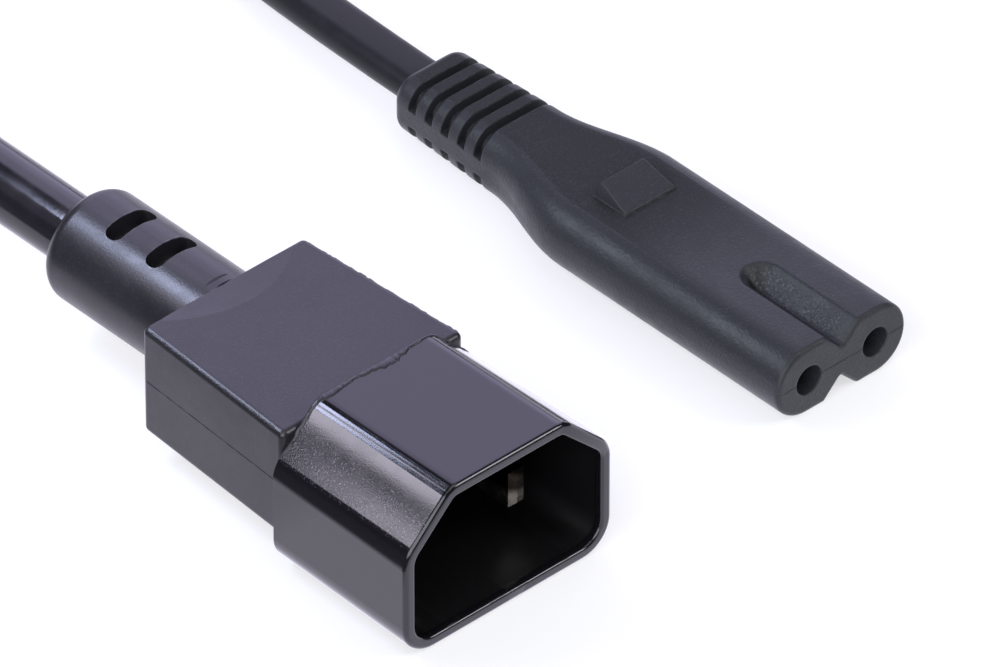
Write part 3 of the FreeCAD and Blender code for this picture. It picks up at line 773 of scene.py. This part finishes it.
# even points along the outer edge at the hood's rear, from left to right over its top
def hoodRearEdge():
    spec = hoodFlashSpec
    points = meshPoints(nodes["plug_shroud"].data)
    rear = points[np.abs(points[:, 1] - hoodEnd) < spec["onEdge"]]
    off = np.abs(rear - (plugX, hoodEnd, barrelZ))
    pastSpigot = (off[:, 0] > spec["spigot"][0]) | (off[:, 2] > spec["spigot"][1])
    outer = rear[pastSpigot & (rear[:, 2] > spec["lowest"])]
    outer = outer[np.argsort(-np.arctan2(outer[:, 2] - barrelZ, outer[:, 0] - plugX))]
    run = runAlong(outer)
    even = np.linspace(0.0, run[-1], spec["count"])
    return np.stack([np.interp(even, run, outer[:, axis]) for axis in range(3)], axis=1)


def makeHoodFlash():
    spec = hoodFlashSpec
    count = spec["count"]
    edge = hoodRearEdge()
    backward = np.array([0.0, 1.0, 0.0])
    outward = np.cross(tangentsOf(edge), backward)
    toEnd = np.minimum(np.arange(count), np.arange(count)[::-1])
    ends = np.clip(toEnd / spec["fadeCount"], 0.0, 1.0)
    lap = np.interp(edge[:, 0] - plugX, spec["lapAt"], spec["lap"])
    lap = ends * lap * (unevenShare(count, spec["lapWander"]) + unevenShare(count, spec["lapFray"]))
    thick = ends * spec["thickness"] * unevenShare(count, spec["thicknessWander"])
    columns = []
    for lapShare, stepForward, thickShare, stepOut in spec["profile"]:
        out = thick * thickShare + stepOut
        forward = lap * lapShare + stepForward
        columns.append(edge + out[:, None] * outward - forward[:, None] * backward)
    points = np.stack(columns, axis=1).reshape(-1, 3)
    return meshObject("hoodFlash", points, gridFaces(count, len(columns)), finishes["plug_pvc"])


blockSpec = dict(frontHalf=0.0114, rearHalf=0.0102, edgeRadius=0.0007)


# half width of the block, which narrows evenly to its rear
def blockHalf(y):
    narrowing = blockSpec["rearHalf"] - blockSpec["frontHalf"]
    return blockSpec["frontHalf"] + narrowing * (y - hoodEnd) / (blockRear - hoodEnd)


# worn flash along the block's two upper side edges, on the middle of their rounding
edgeFlashSpec = dict(count=260, front=0.0006, shorter=0.0014, width=0.00022, height=0.00010, sunk=0.00001,
                     heightWander=(-0.3, 1.5, 4, 7), heightLimits=(0.05, 1.0), widthWander=(0.7, 0.6, 6, 9),
                     profile=((-0.5, -0.1), (-0.25, 0.8), (0.0, 1.0), (0.25, 0.8), (0.5, -0.1)))


def makeEdgeFlash(sign):
    spec = edgeFlashSpec
    count, radius = spec["count"], blockSpec["edgeRadius"]
    y = hoodEnd + spec["front"] + np.linspace(0.0, 1.0, count) * (blockRear - hoodEnd - spec["shorter"])
    outward = np.array([sign * math.sqrt(0.5), 0.0, math.sqrt(0.5)])
    middle = np.stack([plugX + sign * (blockHalf(y) - radius), y, np.full(count, blockTop - radius)], axis=1)
    wander = np.clip(unevenShare(count, spec["heightWander"], sign), *spec["heightLimits"])
    width = spec["width"] * unevenShare(count, spec["widthWander"], sign)
    return stripObject("edgeFlash" + sideNames[sign], middle + outward * (radius - spec["sunk"]), outward,
                       width, spec["height"] * wander, finishes["plug_pvc"], spec["profile"])


# seam where the mould halves met, down each side of the block
blockSeamSpec = dict(count=260, front=0.0006, rear=0.0007, width=0.00016, height=0.00004,
                     heightWander=(0.5, 1.0, 8, 15),
                     profile=((-0.5, -0.2), (-0.2, 1.0), (0.2, 1.0), (0.5, -0.2)))


def makeBlockSeam(sign):
    spec = blockSeamSpec
    count = spec["count"]
    y = np.linspace(hoodEnd + spec["front"], blockRear - spec["rear"], count)
    line = np.stack([plugX + sign * blockHalf(y), y, np.full(count, barrelZ)], axis=1)
    height = spec["height"] * unevenShare(count, spec["heightWander"], sign)
    return stripObject("blockSeam" + sideNames[sign], line, np.array([float(sign), 0.0, 0.0]),
                       spec["width"], height, finishes["plug_pvc"], spec["profile"])


# closed slit on the barrel near the block, drawn as a dark strip of painted shade: an arc over its top, whose
# width falls to the ends as an ellipse's
hairline = ((-0.5, -0.6), (0.0, 1.0), (0.5, -0.6))
slitSpec = dict(count=40, halfTurn=0.23, tipTurn=0.235, behindBlock=0.0009, lift=0.000012, width=0.00034,
                narrowest=0.02)


def makeBarrelSlit():
    spec = slitSpec
    turn = np.linspace(-spec["halfTurn"], spec["halfTurn"], spec["count"])
    outward = np.stack([np.sin(turn), np.zeros(spec["count"]), np.cos(turn)], axis=1)
    middle = np.array([plugX, blockRear + spec["behindBlock"], barrelZ])
    line = outward * (barrelRadius + spec["lift"]) + middle
    width = spec["width"] * np.sqrt(np.clip(1.0 - (turn / spec["tipTurn"]) ** 2, spec["narrowest"], 1.0))
    return stripObject("barrelSlit", line, outward, width, spec["lift"], finishes["seam"], hairline)


# parting line across the mating face, drawn as a dark strip of painted shade, broken by the two contact holes
faceSeamSpec = dict(count=60, proud=0.000008, lift=0.000012, stray=0.00008, strayWander=(-0.5, 1.0, 7, 21),
                    width=0.00020, widthWander=(0.6, 0.7, 5, 22),
                    ends={"faceSeamLeft": (-0.0079, -0.0059), "faceSeamMiddle": (-0.0027, 0.0027),
                          "faceSeamRight": (0.0059, 0.0079)})


def makeFaceSeam(name):
    spec = faceSeamSpec
    count = spec["count"]
    x = np.linspace(*spec["ends"][name], count)
    z = axisZ + spec["stray"] * unevenShare(count, spec["strayWander"])
    line = np.stack([x, np.full(count, faceY - spec["proud"]), z], axis=1)
    width = spec["width"] * unevenShare(count, spec["widthWander"])
    return stripObject(name, line, np.array([0.0, -1.0, 0.0]), width, spec["lift"], finishes["seam"], hairline)


plugMarks = [makeHoodFlash(), makeEdgeFlash(-1), makeEdgeFlash(1), makeBlockSeam(-1), makeBlockSeam(1),
             makeBarrelSlit()]
faceMarks = [makeFaceSeam(name) for name in faceSeamSpec["ends"]]
for marks, label in ((plugMarks, "plug_pvc"), (faceMarks, "connector_pvc")):
    for piece in marks:
        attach(piece, "root")
print("mould marks laid:", len(plugMarks) + len(faceMarks))

cord, cordLine = makeCord()
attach(cord, "root")
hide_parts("cord")
print("cord laid, line points", len(cordLine))
